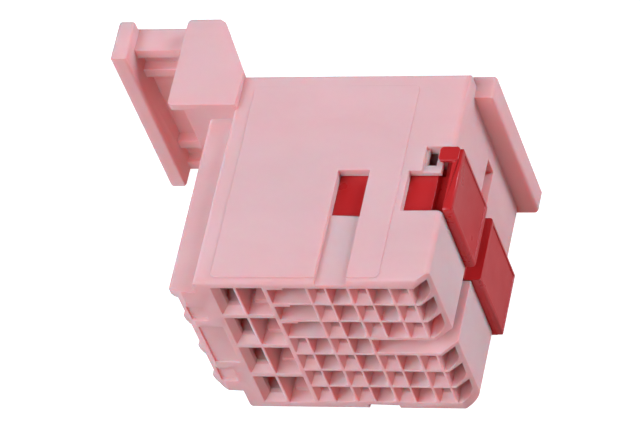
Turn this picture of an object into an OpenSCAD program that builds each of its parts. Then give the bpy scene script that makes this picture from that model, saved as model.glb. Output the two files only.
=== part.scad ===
// Female housing of a wiring harness connector, without terminals or wires, and its side retainer.
// 23 small and 4 large terminal cavities open on the mating face, which looks along -Y.
// Wires would leave along +Y. The underside lies on Z = 0 and the origin is at its centre.

/* [Cavity grid] */
// Pitch of the small cavities across the width
small_pitch_x = 3.27; // [3.1:0.01:3.6]
// Pitch of the small cavities over the height
small_pitch_z = 2.2; // [2.1:0.05:2.5]
// Pitch of the large cavities over the height
large_pitch_z = 3.95; // [3.8:0.05:4.4]
// Web between two small rows on the mating face
small_web = 0.22; // [0.18:0.02:0.4]
// Web between two large rows on the mating face
large_web = 0.45; // [0.3:0.05:0.7]
// Rib between two small columns on the mating face
column_rib = 0.22; // [0.18:0.02:0.4]
// Thin wall between a tab entry and the lance window beside it
partition = 0.17; // [0.12:0.01:0.25]
// Wall between the large and the small cavities
divider = 0.37; // [0.3:0.01:0.6]

/* [Tab entries] */
// Width of a small tab entry on the mating face
small_entry_w = 1.3; // [1.15:0.05:1.45]
// Width of the hole behind a small entry
small_hole_w = 0.8; // [0.7:0.05:1]
// Height of the hole behind a small entry
small_hole_h = 0.92; // [0.75:0.01:1.1]
// Width of a large tab entry on the mating face
large_entry_w = 1.9; // [1.7:0.05:2.2]
// Width of the hole behind a large entry
large_hole_w = 1.04; // [0.9:0.02:1.3]
// Height of the hole behind a large entry
large_hole_h = 2.64; // [2.5:0.02:2.9]
// Depth over which an entry narrows to its hole
funnel_depth = 0.6; // [0.4:0.05:0.8]
// Thickness of the front wall that stops the terminals
front_wall = 1.1; // [0.95:0.05:1.5]

/* [Terminal passages] */
// Height of a small terminal passage behind the front wall
small_passage_h = 1.36; // [1.2:0.02:1.5]
// Height of a large terminal passage behind the front wall
large_passage_h = 3.2; // [2.8:0.05:3.4]

/* [Lance windows] */
// Width of a large lance window
large_window_w = 2.03; // [1.8:0.01:2.4]
// Width of the lance windows of the last column, which reach the bevelled corner
end_window_w = 1.18; // [1:0.01:1.3]
// Depth of the lance windows
window_depth = 5.9; // [4:0.1:6.2]
// Radius of the lower outer corner of a small window
window_round = 0.4; // [0.1:0.05:0.5]
// Radius of the lower outer corner of an end window
end_window_round = 0.85; // [0.4:0.05:0.95]
// Depth at which a large lance starts behind the mating face
lance_setback = 1.15; // [0.8:0.05:2]
// Height of a large lance above the floor of its window
lance_h = 0.4; // [0.2:0.05:0.8]
// Space on either side of a large lance
lance_side = 0.3; // [0.2:0.05:0.5]
// How much lower the ceiling of a blank pocket is beside its entry part
blank_step = 0.22; // [0.1:0.02:0.4]

/* [Housing body] */
// Depth of the body from the mating face to the wire side
body_d = 19.6; // [18.5:0.1:24]
// Wall over the cavities
top_wall = 0.72; // [0.6:0.02:1]
// Wall under the cavities
bottom_wall = 0.72; // [0.6:0.02:1]
// Wall left of the large cavities
left_wall = 1.3; // [1:0.05:2]
// Wall right of the end windows
right_wall = 0.3; // [0.3:0.02:0.8]
// Rounding of the long outer edges
edge_round = 0.45; // [0.2:0.05:0.55]
// Rounding of the lower front and rear edges
foot_round = 0.15; // [0.1:0.05:0.3]
// Rounding of the lower right edge
low_round = 0.9; // [0.6:0.05:1.1]
// Bevel between the mating face and the right side
corner_bevel = 1.14; // [0.8:0.02:1.4]

/* [Keyway] */
// Height of the keyway in the right side
keyway_h = 1.67; // [1.2:0.01:1.75]
// Depth of the keyway along the right side
keyway_depth = 1.2; // [0.8:0.05:1.5]
// Length of the keyway from the mating face
keyway_len = 16.9; // [15:0.1:18]

/* [Top and bottom faces] */
// Rise of the flat panel on the top face
panel_rise = 0.1; // [0.04:0.01:0.2]
// Distance of the panel from the left side of the body
panel_left = 1.4; // [1:0.1:3]
// Distance of the panel from the right side of the body
panel_right = 3.8; // [3.5:0.1:5]
// Distance of the panel from the mating face
panel_front = 0.5; // [0.5:0.1:2]
// Distance of the panel from the wire side
panel_back = 1.2; // [0.6:0.1:3]
// Rounding of the corners of the panel
panel_round = 0.4; // [0.1:0.05:0.8]
// Width of the groove in the top and bottom faces
groove_w = 2.5; // [1.5:0.1:3]
// Distance of the groove from the left side of the body
groove_left = 9.7; // [8:0.1:10]
// Depth of the groove in the top face
groove_depth = 0.3; // [0.15:0.05:0.4]
// Depth of the groove in the bottom face
low_groove_depth = 0.5; // [0.2:0.05:0.5]
// Length of the sight window at the end of the groove
sight_len = 4; // [2:0.1:4.2]

/* [Retainer slot] */
// Distance of the retainer slot from the mating face
slot_front = 6.7; // [6.6:0.1:8]
// Length of the retainer slot along the depth
slot_len = 5.95; // [5.5:0.05:6.5]
// Width of the notch in the top and bottom walls at the right end of the slot
notch_w = 3.25; // [2.6:0.05:3.4]
// Length of that notch along the depth
notch_len = 3.7; // [3:0.1:3.8]
// Width of the latch shelf beside the notch
shelf_w = 2.25; // [2.2:0.05:2.5]
// Depth of the latch shelf below the top face
shelf_drop = 0.3; // [0.25:0.01:0.4]
// Wall on the left of the catch hole in the latch shelf
catch_wall = 0.22; // [0.18:0.02:0.34]
// Width of the catch hole
catch_w = 0.74; // [0.5:0.02:0.8]
// Length of the catch hole
catch_len = 1.55; // [1:0.05:1.7]

/* [Retainer] */
// Free gap between the retainer and its slot
slide_gap = 0.08; // [0.05:0.01:0.1]
// Travel from the pre-set position to the locked position
travel = 0.7; // [0.5:0.05:0.8]
// Thickness of the outer plates
plate_t = 0.75; // [0.7:0.05:1]
// How far the plates stay below the top and above the bottom face
plate_inset = 0.05; // [0.03:0.01:0.2]
// Rounding of the outer edges of the plates
plate_round = 0.3; // [0.1:0.05:0.35]
// Width of the latch lug along the depth
lug_len = 1.3; // [1:0.05:1.4]
// Reach of the latch lug inwards from the plates
lug_reach = 1.1; // [0.9:0.05:1.15]
// Rise of the latch lug over the top face
lug_rise = 0.1; // [0.05:0.01:0.2]
// Rounding of the latch lug
lug_round = 0.3; // [0.1:0.05:0.4]
// Width of the gap behind the upper edge of the plates
relief_w = 1.1; // [0.8:0.05:1.2]
// Depth of that gap below the top of the comb
relief_depth = 0.8; // [0.5:0.05:1.2]
// Depth of the pit in the comb under the catch hole
pit_depth = 2; // [1:0.1:3]
// Room around the catch hole in that pit
pit_room = 0.1; // [0.05:0.05:0.2]
// Reach of the foot behind the lower edge of the plates
foot_reach = 1.2; // [0.8:0.05:1.6]
// Height of the underside of that foot over the bottom face
foot_lift = 0.2; // [0.1:0.05:0.4]
// Width of the rim around the sunk outer face of each plate
rim_w = 0.42; // [0.36:0.02:0.8]
// Depth of that sunk face
face_depth = 0.07; // [0.03:0.01:0.15]
// Space between the comb and the large terminal passages
comb_setback = 0.2; // [0.1:0.05:0.3]

/* [Guide rib on the left side] */
// Width of the guide rib
rib_w = 1.8; // [1.6:0.05:2.6]
// Distance of the guide rib below the top face
rib_drop = 1.25; // [0.8:0.05:1.5]
// Height of the guide rib's underside over the bottom face
rib_lift = 2.3; // [1.5:0.1:2.6]
// Bevel of its front edge along the width
rib_bevel_x = 1.15; // [0.6:0.05:1.3]
// Bevel of its front edge along the depth
rib_bevel_y = 0.5; // [0.3:0.05:1]
// Rounding of its lower outer edge
rib_round = 0.8; // [0.2:0.05:0.85]
// Thickness of the lip along its top
lip_t = 1.1; // [0.8:0.05:1.5]
// Overhang of that lip
lip_over = 0.55; // [0.3:0.05:0.7]
// Rounding of that lip
lip_round = 0.35; // [0.15:0.05:0.4]
// Radius of the beads along its outer wall
bead_r = 1; // [0.7:0.05:1.2]
// Rise of the beads
bead_rise = 0.35; // [0.1:0.05:0.4]
// Distance of the first bead below the top of the rib
bead_drop = 3.85; // [3:0.05:4]
// Distance between two beads
bead_step = 4; // [3:0.1:4]
// Number of beads
bead_count = 3; // [2:1:3]
// Width of the two recesses in its front
recess_w = 1.4; // [1:0.05:1.6]
// Height of the two recesses
recess_h = 1.75; // [1.2:0.05:2]
// Depth of the two recesses
recess_depth = 0.3; // [0.2:0.05:1]
// Distance of the upper recess below the top of the rib, to its middle
recess_drop = 2.9; // [2.2:0.05:3.2]
// Distance between the middles of the two recesses
recess_step = 8.2; // [7:0.1:8.6]
// Depth of the plain field between them
field_depth = 0.15; // [0.1:0.01:0.3]
// Gap between the plain field and either recess
field_gap = 0.88; // [0.6:0.02:1.2]
// Distance of the plain field from the left edge of the recesses
field_left = 0.28; // [0.1:0.02:0.6]
// Distance of the plain field from the large entries
field_right = 0.45; // [0.3:0.05:0.8]

/* [Fixing arm] */
// Distance of the arm from the mating face
arm_front = 16.3; // [15.5:0.1:17]
// Reach of the arm to the left of the body
arm_w = 4.1; // [3.4:0.1:5]
// Distance of the rear end of the arm from the mating face
arm_rear = 24.65; // [24:0.05:27]
// Width of the rear end of the arm
arm_rear_w = 1.8; // [1.4:0.1:2.4]
// Height of the underside of the arm and its rail over the bottom face
arm_lift = 0.3; // [0.2:0.05:1.5]
// Thickness of the pad on the arm
pad_t = 0.7; // [0.5:0.05:1]
// Rise of the pad over the top face
pad_rise = 0.6; // [0.4:0.05:0.65]
// Overhang of the pad on the left of the arm
pad_over = 1.2; // [0.5:0.05:1.5]
// Overhang of the pad on the slanted rear side of the arm
slant_over = 0.35; // [0.1:0.05:0.5]
// How far before the wire side the slanted rear side of the arm starts
slant_start = 0.7; // [0.3:0.1:1.2]
// Cut corner of the pad at the end of its slanted side
pad_corner = 0.3; // [0.1:0.05:0.5]
// Rounding of the upright edges of the pad
pad_round = 0.4; // [0.2:0.05:0.6]
// Wall left around the core of the arm
core_wall = 0.9; // [0.7:0.05:1.2]

/* [Rails] */
// Gap between the arm and the left rail
channel_w = 5.6; // [5.2:0.1:7]
// Thickness of the left rail
rail_t = 1.5; // [1.2:0.05:2]
// Depth of the left rail
rail_d = 3.65; // [3:0.05:4.5]
// Rise of the left rail over the top face
rail_rise = 0.38; // [0.1:0.02:0.5]
// Rounding of the edges of the left rail
rail_round = 0.35; // [0.1:0.05:0.45]
// Depth of the rungs between the left rail and the arm
rung_d = 2.15; // [1.8:0.05:2.6]
// Thickness of the rungs
rung_t = 0.95; // [0.4:0.05:1.1]
// Distance of the top rung below the left rail's upper end
rung_drop = 0.94; // [0.5:0.02:1.2]
// Distance between the two upper rungs
upper_step = 2.45; // [2:0.05:4]
// Distance between the two lower rungs
lower_step = 2.8; // [2:0.1:4]
// Distance of the lowest rung above the left rail's lower end
rung_lift = 0.3; // [0.1:0.05:1]
// Thickness of the web between the left rail and the arm
web_t = 1.3; // [1:0.05:1.6]
// Reach of the right rail from the body
right_rail_w = 1.6; // [1:0.05:2]
// Depth of the right rail
right_rail_d = 2; // [1.5:0.05:2.6]
// Distance of the right rail's rear from the wire side
right_rail_back = 0.9; // [0.4:0.05:1.2]
// Distance of the right rail below the top face
right_rail_drop = 1.7; // [1:0.05:3]
// Height of the right rail's lower end over the bottom face
right_rail_lift = 0.1; // [0.1:0.05:1]
// Rounding of the edges of the right rail
right_rail_round = 0.35; // [0.1:0.05:0.6]

/* [Hidden] */
$fn = 48;

// Extra length of a cut past the surface that it opens
past = 0.2;
// Depth by which joined solids run into each other
sink = 0.3;

// Which cavities of each small row exist, from the top row down
BLANK_FIRST = [0, 1, 1, 1];
FULL = [1, 1, 1, 1];
KEYED = [1, 1, 0, 0];
ROWS = [BLANK_FIRST, BLANK_FIRST, BLANK_FIRST, KEYED, FULL, FULL, FULL];
blank_rows = [0, 1, 2];
keyed_row = 3;
small_rows = len(ROWS);
small_cols = len(FULL);
large_rows = 4;

// Small and large cells on the mating face
small_entry_h = small_pitch_z - small_web;
large_entry_h = large_pitch_z - large_web;
small_window_x = small_entry_w + partition;
small_window_w = small_pitch_x - small_window_x - column_rib;
large_window_x = large_entry_w + partition;
grid_h = max((small_rows - 1) * small_pitch_z + small_entry_h,
             (large_rows - 1) * large_pitch_z + large_entry_h);

// Outer box of the body
small_block_x = left_wall + large_window_x + large_window_w + divider;
body_w = small_block_x + (small_cols - 1) * small_pitch_x + small_window_x + end_window_w + right_wall;
body_h = bottom_wall + grid_h + top_wall;
left = -body_w / 2;
right = body_w / 2;
front = -body_d / 2;
back = body_d / 2;
grid_top = body_h - top_wall;

// Left edge of a column and lower edge of a row
function small_x(col) = left + small_block_x + col * small_pitch_x;
function small_z(row) = grid_top - row * small_pitch_z - small_entry_h;
function large_z(row) = grid_top - row * large_pitch_z - large_entry_h;
large_x = left + left_wall;

// Keyway
keyway_z = small_z(keyed_row) + (small_entry_h - keyway_h) / 2;
keyway_x = small_x(search(0, KEYED)[0]);

// Retainer slot and the retainer in its pre-set position
slot_y = front + slot_front;
comb_x = large_x + large_entry_w + comb_setback;
slot_x = comb_x - travel - slide_gap;
plate_x = right;
plate_bay_x = right - travel - slide_gap;
comb_y = slot_y + slide_gap;
comb_len = slot_len - 2 * slide_gap;
comb_z = bottom_wall + slide_gap;
comb_h = grid_h - 2 * slide_gap;
notch_x = right - notch_w;
shelf_x = right - shelf_w;
shelf_y = slot_y + notch_len;
shelf_z = body_h - shelf_drop;
catch_x = shelf_x + catch_wall;
catch_y = slot_y + slot_len - catch_len;
lug_y = slot_y + slot_len - slide_gap - lug_len;
lug_x = plate_x - lug_reach;
lug_z = shelf_z + slide_gap;
lug_t = body_h + lug_rise - lug_z;
groove_x = left + groove_left;
sight_y = slot_y + notch_len - sight_len;

// Guide rib
rib_x = left - rib_w;
lip_x = rib_x - lip_over;
rib_top = body_h - rib_drop;
bead_z = [for (k = [0 : bead_count - 1]) rib_top - bead_drop - k * bead_step];
recess_z = [rib_top - recess_drop, rib_top - recess_drop - recess_step];

// Arm, rails and rungs
arm_x = left - arm_w;
arm_y = front + arm_front;
rear_y = front + arm_rear;
pad_top = body_h + pad_rise;
pad_x = arm_x - pad_over;
arm_root = left + sink;
rail_x = arm_x - channel_w - rail_t;
rail_top = body_h + rail_rise;
rung_y = rear_y - rung_d;
web_y = rear_y - web_t;
top_rung = rail_top - rung_drop;
low_rung = arm_lift + rung_lift + rung_t;
rungs = [top_rung, top_rung - upper_step, low_rung + lower_step, low_rung];

// Flat outline along X and Z, drawn from y0 towards +Y
module along_y(y0, length) {
    translate([0, y0 + length, 0])
        rotate([90, 0, 0])
            linear_extrude(height = length)
                children();
}

// Flat outline along Y and Z, drawn from x0 towards +X
module along_x(x0, length) {
    translate([x0, 0, 0])
        rotate([90, 0, 90])
            linear_extrude(height = length)
                children();
}

// Flat outline along X and Y, drawn from z0 upwards
module along_z(z0, length) {
    translate([0, 0, z0])
        linear_extrude(height = length)
            children();
}

// Rectangle between two corners with true round corners
module round_rect(a, b, r) {
    translate([a.x + r, a.y])
        square([b.x - a.x - 2 * r, b.y - a.y]);
    translate([a.x, a.y + r])
        square([b.x - a.x, b.y - a.y - 2 * r]);
    for (x = [a.x + r, b.x - r], y = [a.y + r, b.y - r])
        translate([x, y])
            circle(r = r);
}

// Box between two corners
module block(a, b) {
    translate(a)
        cube(b - a);
}

// Box that is doubled by its mirror image about half the body's height
module block_both_faces(a, b) {
    block(a, b);
    block([a.x, a.y, body_h - b.z], [b.x, b.y, body_h - a.z]);
}

// Body with round long edges and a bevelled front right corner. Outlines that are drawn larger than the body
// round only the edges at their corners inside it
module body_shell() {
    intersection() {
        along_z(-past, body_h + 2 * past)
            polygon([[left, front], [right - corner_bevel, front], [right, front + corner_bevel],
                     [right, back], [left, back]]);
        along_y(front - past, body_d + 2 * past)
            round_rect([left, 0], [right, body_h], edge_round);
        along_y(front - past, body_d + 2 * past)
            round_rect([left - body_w, 0], [right, 2 * body_h], low_round);
        along_x(left - past, body_w + 2 * past)
            round_rect([front, -body_h], [back, body_h], edge_round);
        along_x(left - past, body_w + 2 * past)
            round_rect([front, 0], [back, 2 * body_h], foot_round);
    }
}

// Funnel of a tab entry: w by h on the mating face, hole_w by hole_h at its end
module funnel(x, z, w, h, hole_w, hole_h) {
    in_x = (w - hole_w) / 2;
    in_z = (h - hole_h) / 2;
    end_y = front + funnel_depth;
    intersection() {
        along_z(z, h)
            polygon([[x, front - past], [x + w, front - past], [x + w, front],
                     [x + w - in_x, end_y], [x + in_x, end_y], [x, front]]);
        along_x(x, w)
            polygon([[front - past, z], [front, z], [end_y, z + in_z],
                     [end_y, z + h - in_z], [front, z + h], [front - past, z + h]]);
    }
}

// Whole way of one terminal: funnel, hole in the front wall and passage to the wire side
module terminal_way(x, z, w, h, hole_w, hole_h, passage_h) {
    hole = [x + (w - hole_w) / 2, z + (h - hole_h) / 2];
    passage_z = z + (h - passage_h) / 2;
    funnel(x, z, w, h, hole_w, hole_h);
    block([hole.x, front + funnel_depth, hole.y],
          [hole.x + hole_w, front + front_wall, hole.y + hole_h]);
    block([x, front + front_wall, passage_z], [x + w, back + past, passage_z + passage_h]);
}

// Small lance window with a round lower outer corner
module small_window(x, z, w, r) {
    along_y(front - past, window_depth + past)
        difference() {
            translate([x, z])
                square([w, small_entry_h]);
            difference() {
                translate([x + w - r, z - past])
                    square([r + past, r + past]);
                translate([x + w - r, z + r])
                    circle(r = r);
            }
        }
}

// Large lance window with the tip of its lance standing on the floor
module large_window(row) {
    x = large_x + large_window_x;
    z = large_z(row);
    difference() {
        block([x, front - past, z], [x + large_window_w, front + window_depth, z + large_entry_h]);
        block([x + lance_side, front + lance_setback, z - past],
              [x + large_window_w - lance_side, front + window_depth + past, z + lance_h]);
    }
}

// Pocket that takes the place of a small cavity, with a stepped ceiling
module blank_pocket(row) {
    x = small_x(0);
    z = small_z(row);
    block([x, front - past, z],
          [x + small_entry_w, front + window_depth, z + small_entry_h - blank_step]);
    block([x + small_entry_w, front - past, z],
          [x + small_window_x + small_window_w, front + window_depth, z + small_entry_h]);
}

module small_cavities() {
    for (row = [0 : small_rows - 1], col = [0 : small_cols - 1])
        if (ROWS[row][col] == 1) {
            last = col == small_cols - 1;
            terminal_way(small_x(col), small_z(row), small_entry_w, small_entry_h,
                         small_hole_w, small_hole_h, small_passage_h);
            small_window(small_x(col) + small_window_x, small_z(row),
                         last ? end_window_w : small_window_w,
                         last ? end_window_round : window_round);
        }
    for (row = blank_rows)
        blank_pocket(row);
}

module large_cavities() {
    for (row = [0 : large_rows - 1]) {
        terminal_way(large_x, large_z(row), large_entry_w, large_entry_h,
                     large_hole_w, large_hole_h, large_passage_h);
        large_window(row);
    }
}

// Keyway: deep where two cavities are missing, then a channel along the right side
module keyway() {
    block([keyway_x, front - past, keyway_z],
          [right + past, front + window_depth, keyway_z + keyway_h]);
    block([right - keyway_depth, front - past, keyway_z],
          [right + past, front + keyway_len, keyway_z + keyway_h]);
}

// Room for the retainer, with notches in both walls and a latch shelf in the top wall
module retainer_slot() {
    slot_end = slot_y + slot_len;
    block([slot_x, slot_y, bottom_wall], [right + past, slot_end, grid_top]);
    block([plate_bay_x, slot_y, -past], [right + past, slot_end, body_h + past]);
    block_both_faces([notch_x, slot_y, grid_top - past], [right + past, shelf_y, body_h + past]);
    block([shelf_x, shelf_y - past, shelf_z], [right + past, slot_end, body_h + past]);
    block([catch_x, catch_y, grid_top - past], [catch_x + catch_w, slot_end, body_h + past]);
}

// Grooves in both faces, each ending in a window onto the retainer
module grooves() {
    groove_end = slot_y + notch_len;
    block([groove_x, front - past, body_h - groove_depth],
          [groove_x + groove_w, groove_end, body_h + panel_rise + past]);
    block([groove_x, front - past, -past], [groove_x + groove_w, groove_end, low_groove_depth]);
    block_both_faces([groove_x, sight_y, grid_top - past],
                     [groove_x + groove_w, groove_end, body_h + past]);
}

// Flat panel on the top face
module top_panel() {
    along_z(body_h - sink, panel_rise + sink)
        round_rect([left + panel_left, front + panel_front],
                   [right - panel_right, back - panel_back], panel_round);
}

// Guide rib with a bevelled front edge, a lip along its top and beads on its outer wall
module guide_rib() {
    rib_end = arm_y + sink;
    intersection() {
        along_z(0, body_h)
            polygon([[left + sink, front], [lip_x + rib_bevel_x, front],
                     [lip_x, front + rib_bevel_y], [lip_x, rib_end], [left + sink, rib_end]]);
        union() {
            along_y(front - past, rib_end - front + past)
                round_rect([rib_x, rib_lift], [left + sink + rib_round, rib_top], rib_round);
            along_y(front - past, rib_end - front + past)
                round_rect([lip_x, rib_top - lip_t], [left + sink, rib_top], lip_round);
            for (z = bead_z)
                along_y(front - past, rib_end - front + past)
                    translate([rib_x - bead_rise + bead_r, z])
                        circle(r = bead_r);
        }
    }
}

// Recesses in the front of the guide rib and the plain field between them
module rib_recesses() {
    low = left - recess_w;
    field_off = recess_h / 2 + field_gap;
    for (z = recess_z)
        block([low, front - past, z - recess_h / 2],
              [left, front + recess_depth, z + recess_h / 2]);
    block([low + field_left, front - past, recess_z[1] + field_off],
          [left + left_wall - field_right, front + field_depth, recess_z[0] - field_off]);
}

// Outline of the arm between its left edge and the slanted rear right edge
module arm_outline(x0, slant_y, rear_x, corner) {
    slope = (rear_x - arm_root) / (rear_y - slant_y);
    polygon([[x0, arm_y], [arm_root, arm_y], [arm_root, slant_y],
             [rear_x - slope * corner, rear_y - corner], [rear_x - corner, rear_y], [x0, rear_y]]);
}

// Arm behind the guide rib, cored from below, with the pad on top of it
module fixing_arm() {
    pad_rear_x = arm_x + arm_rear_w;
    rear_x = pad_rear_x - slant_over;
    core_x = [arm_x + core_wall, left - core_wall];
    core_y = [arm_y + core_wall, rear_y - web_t - core_wall];
    difference() {
        along_z(arm_lift, pad_top - pad_t - arm_lift + sink)
            arm_outline(arm_x, back - slant_start, rear_x, pad_corner);
        along_z(arm_lift - past, body_h - core_wall - arm_lift + past)
            polygon([[core_x[0], core_y[0]], [core_x[1], core_y[0]],
                     [rear_x, core_y[1]], [core_x[0], core_y[1]]]);
    }
    intersection() {
        along_z(pad_top - pad_t, pad_t)
            arm_outline(pad_x, back, pad_rear_x, pad_corner);
        along_z(pad_top - pad_t - past, pad_t + 2 * past)
            round_rect([pad_x, arm_y], [arm_root + pad_round, rear_y], pad_round);
    }
}

// Upright rail with round edges
module rail(a, b, r) {
    intersection() {
        along_z(a.z, b.z - a.z)
            round_rect([a.x, a.y], [b.x, b.y], r);
        along_y(a.y - past, b.y - a.y + 2 * past)
            round_rect([a.x, a.z], [b.x, b.z], r);
    }
}

// Left rail, held to the arm by a web and four rungs
module left_rail() {
    web_x = [rail_x + rail_t - sink, arm_x + sink];
    rail([rail_x, rear_y - rail_d, arm_lift], [rail_x + rail_t, rear_y, rail_top], rail_round);
    block([web_x[0], web_y, arm_lift], [web_x[1], rear_y, top_rung]);
    for (z = rungs)
        block([web_x[0], rung_y, z - rung_t], [web_x[1], rear_y, z]);
}

// Right rail at the rear of the right side
module right_rail() {
    rail_back = back + right_rail_back;
    rail([right - sink - right_rail_round, rail_back - right_rail_d, right_rail_lift],
         [right + right_rail_w, rail_back, body_h - right_rail_drop], right_rail_round);
}

module housing() {
    color("#deb4bc")
    difference() {
        union() {
            body_shell();
            top_panel();
            guide_rib();
            fixing_arm();
            left_rail();
            right_rail();
        }
        small_cavities();
        large_cavities();
        keyway();
        retainer_slot();
        grooves();
        rib_recesses();
    }
}

// Comb that crosses the small cavities, with a passage for each terminal, a gap behind the upper plate,
// a pit under the catch hole and a foot behind the lower plate
module retainer_comb() {
    comb_top = comb_z + comb_h;
    comb_end = comb_y + comb_len;
    block([plate_x - foot_reach, comb_y, foot_lift], [plate_x + sink, shelf_y - slide_gap, comb_z + sink]);
    difference() {
        block([comb_x, comb_y, comb_z], [plate_x + sink, comb_end, comb_top]);
        block([plate_x - relief_w, comb_y - past, comb_top - relief_depth],
              [plate_x, comb_end + past, comb_top + past]);
        block([catch_x - pit_room, catch_y - pit_room, comb_top - pit_depth],
              [plate_x - relief_w + past, comb_end + past, comb_top + past]);
        for (row = [0 : small_rows - 1], col = [0 : small_cols - 1])
            if (ROWS[row][col] == 1)
                block([small_x(col), comb_y - past,
                       small_z(row) + (small_entry_h - small_passage_h) / 2],
                      [small_x(col) + small_entry_w, comb_end + past,
                       small_z(row) + (small_entry_h + small_passage_h) / 2]);
    }
}

// Outer plates with round edges, split by the keyway
module retainer_plates() {
    low = [comb_y, plate_inset];
    high = [comb_y + comb_len, body_h - plate_inset];
    intersection() {
        along_x(plate_x, plate_t)
            round_rect(low, high, plate_round);
        along_y(comb_y - past, comb_len + 2 * past)
            round_rect([plate_x - plate_round, low.y], [plate_x + plate_t, high.y], plate_round);
        along_z(-past, body_h + 2 * past)
            round_rect([plate_x - plate_round, low.x], [plate_x + plate_t, high.x], plate_round);
    }
}

// Shallow sunk face of a plate, inside a rim
module sunk_face(low_z, high_z) {
    face_x = plate_x + plate_t - face_depth;
    block([face_x, comb_y + rim_w, low_z + rim_w],
          [plate_x + plate_t + past, comb_y + comb_len - rim_w, high_z - rim_w]);
}

// Latch lug that runs over the shelf to the catch hole
module latch_lug() {
    along_z(lug_z, lug_t)
        round_rect([lug_x, lug_y], [plate_x + plate_t - plate_round, lug_y + lug_len], lug_round);
}

module side_retainer() {
    color("#b2282d")
    difference() {
        union() {
            retainer_comb();
            retainer_plates();
            latch_lug();
        }
        block([right - keyway_depth + travel, comb_y - past, keyway_z],
              [plate_x + plate_t + past, comb_y + comb_len + past, keyway_z + keyway_h]);
        sunk_face(plate_inset, keyway_z);
        sunk_face(keyway_z + keyway_h, body_h - plate_inset);
    }
}

housing();
side_retainer();
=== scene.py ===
# %% [markdown]
# # A wiring harness connector in pink and red plastic
# The object is small: a pale pink housing about 31 mm long, full of square terminal cavities, and a red
# retainer that is pushed into its side to lock the terminals. Both are injection mouldings, so this
# lesson is about what makes a moulding look moulded: tiny rounded edges, a fine grain left by the mould,
# colour that flowed into place, and light that enters the plastic and comes out redder.
# The solids come from the CAD model. They are loaded first, and everything else is built round them, in
# metres and in the same frame.

# %% Load the solids
import math

import bmesh
import bpy
import numpy as np
from mathutils import Matrix, Vector


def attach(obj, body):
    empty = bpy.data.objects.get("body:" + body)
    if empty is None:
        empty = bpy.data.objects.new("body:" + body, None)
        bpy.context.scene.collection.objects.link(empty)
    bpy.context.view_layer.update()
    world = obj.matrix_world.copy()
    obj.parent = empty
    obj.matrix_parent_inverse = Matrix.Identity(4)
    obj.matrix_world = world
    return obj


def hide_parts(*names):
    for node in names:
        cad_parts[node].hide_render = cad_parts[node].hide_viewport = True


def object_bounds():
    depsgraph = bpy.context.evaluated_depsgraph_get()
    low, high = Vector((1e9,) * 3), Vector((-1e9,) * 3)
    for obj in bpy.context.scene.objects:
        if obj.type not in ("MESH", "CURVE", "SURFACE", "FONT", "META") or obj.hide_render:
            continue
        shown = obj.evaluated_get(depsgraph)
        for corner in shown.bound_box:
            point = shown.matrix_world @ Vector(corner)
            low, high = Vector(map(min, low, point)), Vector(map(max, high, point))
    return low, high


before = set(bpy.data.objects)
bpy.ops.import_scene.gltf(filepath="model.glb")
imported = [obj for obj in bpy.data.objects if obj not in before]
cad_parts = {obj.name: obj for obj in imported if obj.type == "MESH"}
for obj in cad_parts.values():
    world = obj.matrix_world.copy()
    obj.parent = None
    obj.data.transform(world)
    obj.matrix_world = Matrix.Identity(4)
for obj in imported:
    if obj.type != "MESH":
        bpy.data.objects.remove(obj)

MM = 0.001
cad_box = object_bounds()
print("solids:", sorted(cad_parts), "size in mm:", [round(x / MM, 2) for x in cad_box[1] - cad_box[0]])

# %% [markdown]
# ## The camera
# The photograph was taken with a long lens from the right and above, with the camera leaning over. A
# camera can be aimed with a Track To constraint, but that can't lean it. Here its three axes are worked
# out instead: the axis that points back from the object, from the azimuth and the elevation, and the
# other two turned about it by the roll. One known corner of the housing is then pinned to the pixel where
# the photograph shows it.

# %% Aim the camera
AZIMUTH, ELEVATION, ROLL = np.radians((30.2, 50.23, -24.13))
LENS_MM, SENSOR_MM = 292.8, 36.0
PICTURE = np.array((640.0, 427.0))
PINNED_CORNER = np.array((-7.95, -9.8, 16.2)) * MM
PINNED_PIXEL = np.array((209.4, 287.4))
PINNED_DEPTH = 391.4 * MM
NEAREST, FARTHEST = 0.01, 20.0

back = np.array((
    np.sin(AZIMUTH) * np.cos(ELEVATION),
    -np.cos(AZIMUTH) * np.cos(ELEVATION),
    np.sin(ELEVATION),
))
level_right = np.array((np.cos(AZIMUTH), np.sin(AZIMUTH), 0.0))
level_up = np.cross(back, level_right)
right = np.cos(ROLL) * level_right + np.sin(ROLL) * level_up
up = np.cross(back, right)

pixels_per_radian = LENS_MM / SENSOR_MM * PICTURE[0]
across, down = (PINNED_PIXEL - PICTURE / 2) / pixels_per_radian * PINNED_DEPTH
place = PINNED_CORNER - across * right + down * up + PINNED_DEPTH * back

camera = bpy.data.objects.new("camera", bpy.data.cameras.new("camera"))
camera.data.lens, camera.data.sensor_width = LENS_MM, SENSOR_MM
camera.data.clip_start, camera.data.clip_end = NEAREST, FARTHEST
axes = Matrix(np.column_stack((right, up, back)).tolist())
camera.matrix_world = Matrix.Translation(place.tolist()) @ axes.to_4x4()
bpy.context.scene.collection.objects.link(camera)
bpy.context.scene.camera = camera
print("camera at", np.round(place / MM, 1), "mm")

# %% [markdown]
# ## Skins with rounded edges
# No edge of a moulding is perfectly sharp: the cutter that made the mould leaves a radius of some
# hundredths of a millimetre, and that thin line catches the light. The Bevel modifier makes such a
# radius, but it needs a clean mesh, and a CAD node is a heap of loose triangles. So each node is copied,
# its corners are welded, and triangles in one plane become one face.
# A face with holes needs care. Blender stores it as one long loop that runs along a bridge to each hole
# and back, and the modifier tangles such a loop, so these faces are cut into triangles again.

# %% Weld the triangles of a solid
WELD = 2e-7
FLAT = math.radians(0.3)


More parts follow.
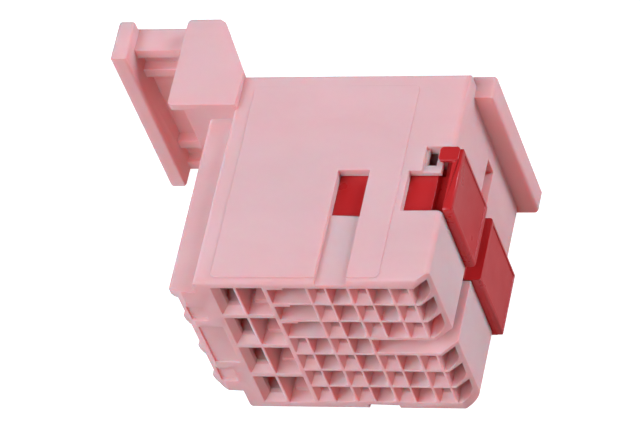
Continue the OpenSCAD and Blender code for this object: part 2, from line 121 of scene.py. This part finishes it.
def welded_mesh(node):
    """The node's triangles as one closed mesh, and the angle between the two faces at each edge. Corners
    closer than WELD become one vertex, and faces within FLAT of each other become one face. A face with
    holes uses some edges twice, to reach the holes, and is cut up into triangles."""
    mesh = bpy.data.meshes.new(node + "_skin")
    skin = bmesh.new()
    skin.from_mesh(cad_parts[node].data)
    bmesh.ops.remove_doubles(skin, verts=skin.verts, dist=WELD)
    bmesh.ops.dissolve_limit(skin, angle_limit=FLAT, verts=skin.verts, edges=skin.edges)
    holed = [face for face in skin.faces if len(set(face.edges)) < len(face.edges)]
    bmesh.ops.triangulate(skin, faces=holed)
    angles = np.array([edge.calc_face_angle(0.0) for edge in skin.edges])
    skin.to_mesh(mesh)
    skin.free()
    return mesh, angles


for node in sorted(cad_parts):
    trial, angles = welded_mesh(node)
    print(node, "welded:", len(trial.polygons), "faces,", len(angles), "edges")
    bpy.data.meshes.remove(trial)

# %% [markdown]
# ## How round each edge may be
# The modifier can round every edge over some angle by the same radius, but the skins have hundreds of
# very short edges, and a radius that is longer than its edge folds the surface over. It can also read a
# weight from each edge. Here the weights are worked out with numpy for all edges at once: the share of
# the full radius that the edge has room for, between its neighbours and across its two faces.

# %% Weigh the edges
SHARP = math.radians(40)
LEAST_RADIUS = 0.012 * MM
SHARE = 0.42
MOST_BENDS = 1
TURNED_BACK, STRAIGHT_ON = 0.1, 1e-6


def edge_arrays(mesh):
    """The two vertices of every edge, its length, and its unit direction from the first to the second."""
    ends = np.empty(len(mesh.edges) * 2, np.int32)
    mesh.edges.foreach_get("vertices", ends)
    points = np.empty(len(mesh.vertices) * 3, np.float32)
    mesh.vertices.foreach_get("co", points)
    ends, points = ends.reshape(-1, 2), points.reshape(-1, 3).astype(float)
    along = points[ends[:, 1]] - points[ends[:, 0]]
    length = np.linalg.norm(along, axis=1)
    return ends, length, along / length[:, None]


def rounding_weights(mesh, angles, full_radius):
    """The share of the full radius that each sharp edge has room for, and 0 for the other edges.
    Where two sharp edges meet with a turn t, the radius r of one takes r tan(t / 2) from the length of the
    other. It may take SHARE of it, so r is at most SHARE length / tan(t / 2), for every pair that meets. A
    face with the area A is about A / length wide across the edge, and r is at most SHARE of that too. Where
    more than MOST_BENDS slightly bent edges meet, curved faces run together or thin slices of one fan out
    from a point. Rounding would twist them, so the sharp edges there stay sharp. TURNED_BACK and
    STRAIGHT_ON keep tan(t / 2) within bounds where an edge turns back or runs straight on."""
    ends, length, along = edge_arrays(mesh)
    bent = np.flatnonzero((angles > FLAT) & (angles <= SHARP))
    bends = np.bincount(ends[bent].ravel(), minlength=len(mesh.vertices))
    fan = bends[ends].max(axis=1) > MOST_BENDS
    sharp = np.flatnonzero(angles > SHARP)
    vertex = ends[sharp].T.ravel()
    edge = np.concatenate((sharp, sharp))
    leaving = np.concatenate((along[sharp], -along[sharp]))
    order = np.argsort(vertex, kind="stable")
    vertex, edge, leaving = vertex[order], edge[order], leaving[order]

    side = np.empty(len(mesh.loops), np.int32)
    mesh.loops.foreach_get("edge_index", side)
    sides = np.empty(len(mesh.polygons), np.int32)
    area = np.empty(len(mesh.polygons), np.float32)
    mesh.polygons.foreach_get("loop_total", sides)
    mesh.polygons.foreach_get("area", area)
    radius = np.full(len(length), full_radius)
    np.minimum.at(radius, side, SHARE * np.repeat(area, sides) / length[side])
    for shift in range(1, np.bincount(vertex).max()):
        same = np.flatnonzero(vertex[:-shift] == vertex[shift:])
        one, other = edge[same], edge[same + shift]
        cosine = -(leaving[same] * leaving[same + shift]).sum(axis=1)
        squared = (1 - cosine) / np.clip(1 + cosine, TURNED_BACK, None)
        half_turn = np.sqrt(np.clip(squared, STRAIGHT_ON, None))
        np.minimum.at(radius, one, SHARE * length[other] / half_turn)
        np.minimum.at(radius, other, SHARE * length[one] / half_turn)
    weight = np.zeros(len(length), np.float32)
    weight[sharp] = np.where(fan[sharp] | (radius[sharp] < LEAST_RADIUS), 0.0, radius[sharp] / full_radius)
    return weight


# %% [markdown]
# ## The two skins
# Each skin stands for its solid: it rides on the same body, so it moves with the retainer's joint.
# The bevel doesn't clamp itself, since the weights already leave room, and it hardens the normals, so
# that the flat faces stay flat and only the narrow rounded strips shade smoothly. At crowded corners it
# leaves normals that lean too far or even point the wrong way, and one of them can draw a dark streak
# across a whole face. So the rounded mesh is kept in place of the modifier, and a normal that leans too
# far from its face is set to the face's own.

# %% Round the skins
EDGE_RADIUS = 0.06 * MM
LEAST_COSINE = math.cos(math.radians(38))


def keep_rounded(skin):
    """Keeps what the modifiers make as the skin's mesh. A corner normal n on a face with the normal f leans
    by the angle whose cosine is n . f. Where that is less than LEAST_COSINE, n becomes f. Returns how many
    were mended."""
    rounded = bpy.data.meshes.new_from_object(skin.evaluated_get(bpy.context.evaluated_depsgraph_get()))
    corners = np.empty(len(rounded.loops) * 3, np.float32)
    rounded.corner_normals.foreach_get("vector", corners)
    faces = np.empty(len(rounded.polygons) * 3, np.float32)
    sides = np.empty(len(rounded.polygons), np.int32)
    rounded.polygons.foreach_get("normal", faces)
    rounded.polygons.foreach_get("loop_total", sides)
    corners, own = corners.reshape(-1, 3), np.repeat(faces.reshape(-1, 3), sides, axis=0)
    wrong = (corners * own).sum(axis=1) < LEAST_COSINE
    corners[wrong] = own[wrong]
    rounded.normals_split_custom_set(corners.tolist())
    skin.modifiers.clear()
    skin.data = rounded
    return np.count_nonzero(wrong)


def rounded_skin(node, body):
    """A welded copy of the node that stands for it, rides on its body and has its edges rounded."""
    mesh, angles = welded_mesh(node)
    weights = rounding_weights(mesh, angles, EDGE_RADIUS)
    mesh.attributes.new("bevel_weight_edge", "FLOAT", "EDGE").data.foreach_set("value", weights)
    mesh.shade_smooth()
    mesh.set_sharp_from_angle(angle=SHARP)
    skin = bpy.data.objects.new(node + "_skin", mesh)
    bpy.context.scene.collection.objects.link(skin)
    bevel = skin.modifiers.new("rounded edges", "BEVEL")
    bevel.limit_method = "WEIGHT"
    bevel.width = EDGE_RADIUS
    bevel.segments = 2
    bevel.use_clamp_overlap = False
    bevel.loop_slide = False
    bevel.harden_normals = True
    mended = keep_rounded(skin)
    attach(skin, body)
    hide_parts(node)
    print(node, "skin:", np.count_nonzero(weights), "of", len(weights), "edges rounded,",
          mended, "normals mended")
    return skin


housing_skin = rounded_skin("housing", "housing")
retainer_skin = rounded_skin("side_retainer", "side_retainer")

# %% [markdown]
# ## Effects that both plastics share
# Both mouldings come from spark-eroded steel, so both have the same kind of grain, and in both the colour
# is a little uneven where the melt flowed. An effect that two materials use is built once, as a shader
# node group with named sockets, and each material places it with its own values. The groups read Object
# coordinates, so the pattern stays on the plastic when the piece moves.
# The grain could be modelled, but its pits are a few hundredths of a millimetre wide, so a bump is
# enough.

# %% Small helpers for shader nodes


def new_group(name, inputs, outputs):
    """An empty shader group, and its two end nodes. Each socket is given as (name, type, default value)."""
    group = bpy.data.node_groups.new(name, "ShaderNodeTree")
    for socket, kind, value in inputs:
        made = group.interface.new_socket(name=socket, in_out="INPUT", socket_type=kind)
        made.default_value = value
    for socket, kind in outputs:
        group.interface.new_socket(name=socket, in_out="OUTPUT", socket_type=kind)
    return group, group.nodes.new("NodeGroupInput"), group.nodes.new("NodeGroupOutput")


def add_node(tree, kind, **values):
    """A node of that kind, with the given properties and input values set."""
    node = tree.nodes.new(kind)
    for name, value in values.items():
        if name in node.inputs:
            node.inputs[name].default_value = value
        else:
            setattr(node, name, value)
    return node


def object_place(tree, scale):
    """Object coordinates, stretched by the scale of each axis."""
    place = add_node(tree, "ShaderNodeTexCoord")
    mapping = add_node(tree, "ShaderNodeMapping", Scale=scale)
    tree.links.new(place.outputs["Object"], mapping.inputs["Vector"])
    return mapping.outputs["Vector"]


# %% The grain of the mould
NOISE_LOW, NOISE_HIGH = 0.3, 0.7
POLISH_PER_METRE = 420.0

grain, grain_in, grain_out = new_group(
    "mould grain",
    [("Pits per metre", "NodeSocketFloat", 9000.0), ("Smooth", "NodeSocketFloat", 0.35),
     ("Rough", "NodeSocketFloat", 0.5)],
    [("Height", "NodeSocketFloat"), ("Roughness", "NodeSocketFloat")],
)
pits = add_node(grain, "ShaderNodeTexNoise", Detail=3.0, Roughness=0.6)
polish = add_node(grain, "ShaderNodeTexNoise", Scale=POLISH_PER_METRE, Detail=3.0, Roughness=0.55)
even = object_place(grain, (1.0, 1.0, 1.0))
span = add_node(grain, "ShaderNodeMapRange")
span.inputs["From Min"].default_value = NOISE_LOW
span.inputs["From Max"].default_value = NOISE_HIGH
grain.links.new(even, pits.inputs["Vector"])
grain.links.new(even, polish.inputs["Vector"])
grain.links.new(grain_in.outputs["Pits per metre"], pits.inputs["Scale"])
grain.links.new(polish.outputs["Fac"], span.inputs["Value"])
grain.links.new(grain_in.outputs["Smooth"], span.inputs["To Min"])
grain.links.new(grain_in.outputs["Rough"], span.inputs["To Max"])
grain.links.new(pits.outputs["Fac"], grain_out.inputs["Height"])
grain.links.new(span.outputs["Result"], grain_out.inputs["Roughness"])
print("group made:", grain.name, [s.name for s in grain.interface.items_tree])

# %% The colour of the melt
FLOW_STRETCH = (120.0, 260.0, 260.0)

melt, melt_in, melt_out = new_group(
    "melt flow",
    [("Pale", "NodeSocketColor", (1.0, 1.0, 1.0, 1.0)), ("Deep", "NodeSocketColor", (0.5, 0.5, 0.5, 1.0))],
    [("Colour", "NodeSocketColor")],
)
clouds = add_node(melt, "ShaderNodeTexNoise", Scale=1.0, Detail=4.0, Roughness=0.5, Distortion=0.6)
between = add_node(melt, "ShaderNodeMapRange")
between.inputs["From Min"].default_value = NOISE_LOW
between.inputs["From Max"].default_value = NOISE_HIGH
blend = add_node(melt, "ShaderNodeMix", data_type="RGBA")
melt.links.new(object_place(melt, FLOW_STRETCH), clouds.inputs["Vector"])
melt.links.new(clouds.outputs["Fac"], between.inputs["Value"])
melt.links.new(between.outputs["Result"], blend.inputs["Factor"])
melt.links.new(melt_in.outputs["Pale"], blend.inputs["A"])
melt.links.new(melt_in.outputs["Deep"], blend.inputs["B"])
melt.links.new(blend.outputs["Result"], melt_out.inputs["Colour"])
print("group made:", melt.name, [s.name for s in melt.interface.items_tree])

# %% [markdown]
# ## The two plastics
# The housing is a matte pink polyester. It isn't quite opaque: red light goes in for more than a
# millimetre and comes out again elsewhere, and green and blue hardly go in at all. So the thin walls
# between the cavities glow redder than the broad lit faces. A darker colour in the recesses could be
# painted on, but it would be wrong as soon as the light moves. Subsurface scattering with its own depth
# for each colour gives the real effect. The retainer is the same resin with a strong red dye and a
# smoother mould, so it is glossier and lets less light in.

# %% Moulded plastic
PIT_DEPTH = 0.01 * MM
PLASTIC_IOR = 1.5
GLOW_BY_COLOUR = (1.0, 0.03, 0.02)


def moulded_plastic(name, pale, deep, pits_per_metre, smooth, rough, bump, shine, glow, glow_depth):
    """A Principled plastic: the melt's colour, the mould's roughness and grain, and red light that goes
    glow_depth metres into the surface, with the share of that depth in GLOW_BY_COLOUR for each colour."""
    material = bpy.data.materials.new(name)
    material.use_nodes = True
    tree = material.node_tree
    plastic = tree.nodes["Principled BSDF"]
    colour = add_node(tree, "ShaderNodeGroup", node_tree=melt, Pale=(*pale, 1.0), Deep=(*deep, 1.0))
    surface = add_node(tree, "ShaderNodeGroup", node_tree=grain, Smooth=smooth, Rough=rough)
    surface.inputs["Pits per metre"].default_value = pits_per_metre
    relief = add_node(tree, "ShaderNodeBump", Strength=bump, Distance=PIT_DEPTH)
    tree.links.new(colour.outputs["Colour"], plastic.inputs["Base Color"])
    tree.links.new(surface.outputs["Roughness"], plastic.inputs["Roughness"])
    tree.links.new(surface.outputs["Height"], relief.inputs["Height"])
    tree.links.new(relief.outputs["Normal"], plastic.inputs["Normal"])
    plastic.inputs["IOR"].default_value = PLASTIC_IOR
    plastic.inputs["Specular IOR Level"].default_value = shine
    plastic.inputs["Subsurface Weight"].default_value = glow
    plastic.inputs["Subsurface Radius"].default_value = GLOW_BY_COLOUR
    plastic.inputs["Subsurface Scale"].default_value = glow_depth
    print("material made:", name)
    return material


pink_plastic = moulded_plastic(
    "pink housing plastic", (0.800, 0.372, 0.347), (0.780, 0.352, 0.327),
    pits_per_metre=9000.0, smooth=0.50, rough=0.60, bump=0.35, shine=0.06, glow=1.0, glow_depth=1.6 * MM,
)
red_plastic = moulded_plastic(
    "red retainer plastic", (0.56, 0.018, 0.018), (0.51, 0.014, 0.014),
    pits_per_metre=7000.0, smooth=0.26, rough=0.36, bump=0.2, shine=0.5, glow=0.2, glow_depth=0.3 * MM,
)
housing_skin.data.materials.clear()
housing_skin.data.materials.append(pink_plastic)
retainer_skin.data.materials.clear()
retainer_skin.data.materials.append(red_plastic)

# %% [markdown]
# ## The floor and the light
# The photograph is a catalogue picture on a pure white ground. A ground that is white because it is
# brightly lit would throw so much light up that the object's sides lost their shape. In a studio the
# ground is cleaned up afterwards. Here the Light Path node does it: what the camera sees is white, and
# what the object gets from the floor is a weak warm glow, like light that pink plastic has thrown down
# and paper has thrown back. The floor itself is a disc, worked out on a polar grid.

# %% Floor
FLOOR_RADIUS = 1.2
FLOOR_DROP = 0.01 * MM
PAPER_GLOW = (0.235, 0.105, 0.08, 1.0)
PAPER_SEEN = (1.0, 1.0, 1.0, 1.0)
PAPER_COLOUR, PAPER_ROUGHNESS = (0.3, 0.3, 0.3, 1.0), 0.9


def disc_mesh(name, radius, height, rings=12, spokes=48):
    """A flat disc: point (r, a) is (r cos a, r sin a, height), with r from 0 to radius and a round the
    circle."""
    steps_out = np.linspace(0, radius, rings + 1)[1:]
    steps_round = np.linspace(0, 2 * np.pi, spokes, endpoint=False)
    r, a = np.meshgrid(steps_out, steps_round, indexing="ij")
    rim = np.stack((r * np.cos(a), r * np.sin(a), np.full_like(r, height)), axis=-1).reshape(-1, 3)
    points = np.vstack(((0.0, 0.0, height), rim))
    ring, spoke = np.meshgrid(np.arange(rings - 1), np.arange(spokes), indexing="ij")
    turn = (spoke + 1) % spokes
    inner, outer = 1 + ring * spokes, 1 + (ring + 1) * spokes
    quads = np.stack((inner + spoke, outer + spoke, outer + turn, inner + turn), axis=-1).reshape(-1, 4)
    first = np.arange(spokes)
    fan = np.stack((np.zeros_like(first), 1 + first, 1 + (first + 1) % spokes), axis=-1)
    mesh = bpy.data.meshes.new(name)
    mesh.from_pydata(points.tolist(), [], fan.tolist() + quads.tolist())
    return mesh


floor = bpy.data.objects.new("floor", disc_mesh("floor", FLOOR_RADIUS, cad_box[0].z - FLOOR_DROP))
bpy.context.scene.collection.objects.link(floor)

paper = bpy.data.materials.new("lit white paper")
paper.use_nodes = True
tree = paper.node_tree
sheet = tree.nodes["Principled BSDF"]
sheet.inputs["Base Color"].default_value = PAPER_COLOUR
sheet.inputs["Roughness"].default_value = PAPER_ROUGHNESS
sheet.inputs["Emission Strength"].default_value = 1.0
looked_at = add_node(tree, "ShaderNodeLightPath")
shine = add_node(tree, "ShaderNodeMix", data_type="RGBA")
shine.inputs["A"].default_value, shine.inputs["B"].default_value = PAPER_GLOW, PAPER_SEEN
tree.links.new(looked_at.outputs["Is Camera Ray"], shine.inputs["Factor"])
tree.links.new(shine.outputs["Result"], sheet.inputs["Emission Color"])
floor.data.materials.append(paper)
print("floor:", len(floor.data.polygons), "faces")

# %% [markdown]
# ## The lamps
# Three soft lamps stand round the object: one to the left and one in front light the top and the mating
# face, and one behind on the right lights the retainer's side. Light adds up, so each lamp was tried
# alone, and then their strengths were set together. Their light is cool, as daylight lamps are. It takes
# the pink of the broad faces back a little, while the recesses, where light has met the plastic several
# times, stay warm.

# %% Lamps
ROOM_COLOUR, ROOM_LIGHT = (1.0, 1.0, 1.0, 1.0), 0.01
LAMP_DISTANCE, LAMP_SIZE, LAMP_POWER = 0.7, 0.45, 4.0
LAMPS = {
    "left light": ((-0.60, -0.38, 0.68), (0.60, 1.08, 1.32)),
    "front light": ((-0.05, -0.62, 0.78), (0.61, 0.72, 0.82)),
    "rear right light": ((0.78, 0.42, 0.46), (0.86, 1.19, 1.43)),
}

world = bpy.data.worlds.new("white room")
world.use_nodes = True
air = world.node_tree.nodes["Background"]
air.inputs["Color"].default_value = ROOM_COLOUR
air.inputs["Strength"].default_value = ROOM_LIGHT
bpy.context.scene.world = world

for name, (direction, colour) in LAMPS.items():
    towards = Vector(direction).normalized()
    lamp = bpy.data.objects.new(name, bpy.data.lights.new(name, "AREA"))
    lamp.data.shape, lamp.data.size, lamp.data.energy = "DISK", LAMP_SIZE, LAMP_POWER
    lamp.data.color = colour
    lamp.location = towards * LAMP_DISTANCE
    lamp.rotation_mode = "QUATERNION"
    lamp.rotation_quaternion = towards.to_track_quat("Z", "Y")
    bpy.context.scene.collection.objects.link(lamp)
bpy.context.scene.view_settings.view_transform = "Standard"
print("room light", ROOM_LIGHT, "and lamps:", *LAMPS)
